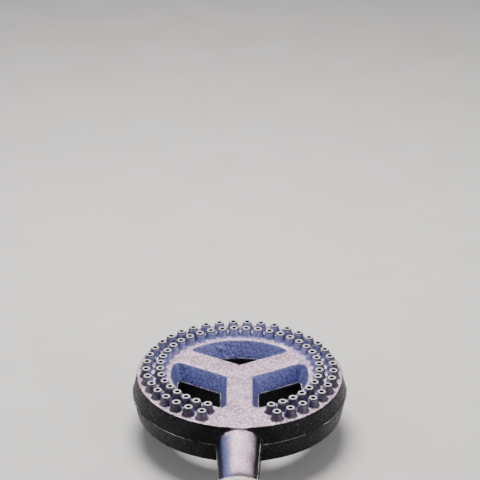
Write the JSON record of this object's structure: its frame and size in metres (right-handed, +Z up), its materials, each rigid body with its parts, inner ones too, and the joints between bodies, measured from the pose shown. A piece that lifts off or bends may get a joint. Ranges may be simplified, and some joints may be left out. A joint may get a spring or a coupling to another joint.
{
  "type": "gas ring burner",
  "caption": "Cast gas ring burner on three spokes with two rows of raised jets, mixing tube, turning air shutter, gas cock with lever and hose barb.",
  "frame": {"origin": "on the floor, under the middle of the whole burner's box", "axes": "+Z up; the mixing tube, gas cock and hose barb run towards -Y; +X is to the right as seen from the hose barb"},
  "size_m": [0.1374, 0.28, 0.0514],
  "materials": {
    "cast_head": "shot-blasted sand casting, silver-grey, fine grain",
    "cast_cover": "shot-blasted sand casting",
    "cast_plate": "sand casting with a machined face",
    "turned_tips": "turned, bright rims",
    "turned_steel": "turned and milled",
    "pressed_steel": "pressed strip, mill finish",
    "sheet_steel": "blanked sheet",
    "spring_steel": "drawn",
    "zinc_screws": "zinc plated",
    "brass_parts": "turned and milled",
    "gasket_sheet": "graphite fibre sheet",
    "fibre_seals": "vulcanised fibre",
    "black_resin": "moulded heat-resistant resin"
  },
  "bodies": {
    "burner": {"burner_head": "cast_head", "outer_jets": "turned_tips", "inner_jets": "turned_tips", "cover_gasket": "gasket_sheet", "bottom_cover": "cast_cover", "cover_screws": "zinc_screws", "rear_feet": "turned_steel", "front_stand": "pressed_steel", "stand_screws": "zinc_screws", "air_plate": "cast_plate", "air_plate_screws": "zinc_screws", "shutter_spring": "spring_steel", "injector": "brass_parts", "injector_nut": "brass_parts", "outlet_seal": "fibre_seals", "cock_body": "brass_parts", "inlet_seal": "fibre_seals", "hose_barb": "brass_parts"},
    "shutter": {"air_shutter": "sheet_steel"},
    "lock": {"lock_screw": "brass_parts"},
    "lever": {"cock_plug": "brass_parts", "plug_washer": "spring_steel", "plug_spring": "spring_steel", "plug_nut": "brass_parts", "lever": "turned_steel", "lever_grip": "black_resin", "lever_screw": "zinc_screws"}
  },
  "joints": [
    {"name": "shutter_turn", "type": "hinge", "parent": "burner", "child": "shutter", "pos_m": [0, -0.06965, 0.0272], "axis": [0, -1, 0], "range_deg": [0, 60]},
    {"name": "lock_screw_turn", "type": "hinge", "parent": "burner", "child": "lock", "pos_m": [-0.0184, -0.06965, 0.03782], "axis": [0, -1, 0], "range_deg": [0, 180]},
    {"name": "lever_turn", "type": "hinge", "parent": "burner", "child": "lever", "pos_m": [0, -0.09005, 0.0272], "axis": [0, 0, 1], "range_deg": [0, 90]}
  ]
}
